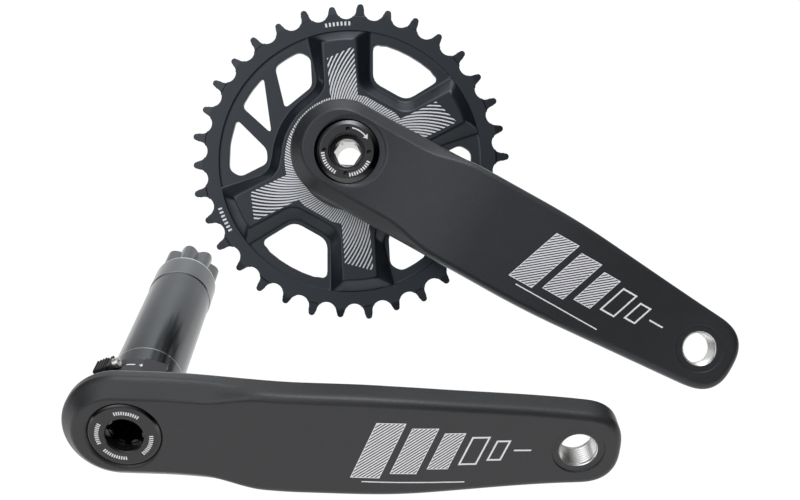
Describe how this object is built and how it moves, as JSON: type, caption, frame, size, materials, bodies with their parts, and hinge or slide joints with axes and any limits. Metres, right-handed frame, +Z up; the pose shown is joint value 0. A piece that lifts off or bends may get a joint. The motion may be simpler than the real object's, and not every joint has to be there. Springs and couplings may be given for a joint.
{
  "type": "bicycle crankset",
  "caption": "Bicycle crankset in two halves: left arm with hollow spindle and preload ring, right arm with direct-mount narrow-wide chainring and captive crank bolt.",
  "frame": {"origin": "centre of the left bearing seat on the spindle's axis", "axes": "+Y along the spindle from the left arm towards its drive end, +X along the left arm to its pedal hole, +Z up"},
  "size_m": [0.2709, 0.1607, 0.1527],
  "materials": {
    "arm_black": "satin black anodised, fine blasted grain",
    "spindle_black": "glossy black anodised, turned",
    "cap_black": "glossy black anodised",
    "preload_plastic": "moulded black",
    "seal_rubber": "matte black",
    "bright_steel": "bright",
    "bolt_silver": "bright zinc plated",
    "black_steel": "blackened",
    "ring_black": "blue-black anodised, milled"
  },
  "bodies": {
    "left_half": {"left_arm": "arm_black", "spindle": "spindle_black", "left_cap": "cap_black"},
    "preload_slider": {"preload_seal": "seal_rubber"},
    "preload_ring": {"preload_ring": "preload_plastic"},
    "pinch_bolt": {"preload_pinch_bolt": "bright_steel"},
    "right_half": {"right_arm": "arm_black", "retaining_ring": "cap_black", "bolt_washer": "bright_steel", "bolt_seal": "seal_rubber", "chainring": "ring_black", "chainring_bolts": "black_steel"},
    "crank_bolt": {"crank_bolt": "bolt_silver"}
  },
  "joints": [
    {"name": "preload_travel", "type": "slide", "parent": "left_half", "child": "preload_slider", "axis": [0, 1, 0], "range_m": [0, 0.003]},
    {"name": "preload_turn", "type": "hinge", "parent": "preload_slider", "child": "preload_ring", "pos_m": [0, 0, 0], "axis": [0, 1, 0], "range_deg": [0, 720]},
    {"name": "pinch_bolt_turn", "type": "hinge", "parent": "preload_ring", "child": "pinch_bolt", "pos_m": [-0.00881, -0.01232, 0.01751], "axis": [0.8934, 0, 0.4493], "range_deg": [0, 540]},
    {"name": "right_draw", "type": "slide", "parent": "left_half", "child": "right_half", "axis": [-0.0217, -0.8859, 0.4633], "range_m": [0, 0.03]},
    {"name": "crank_bolt_turn", "type": "hinge", "parent": "right_half", "child": "crank_bolt", "pos_m": [0.0772, 0.05897, 0.0822], "axis": [-0.0217, -0.8859, 0.4633], "continuous": true}
  ],
  "couplings": [
    {"joint": "preload_travel", "follows": "preload_turn", "m_per_rad": 0.00023873}
  ]
}
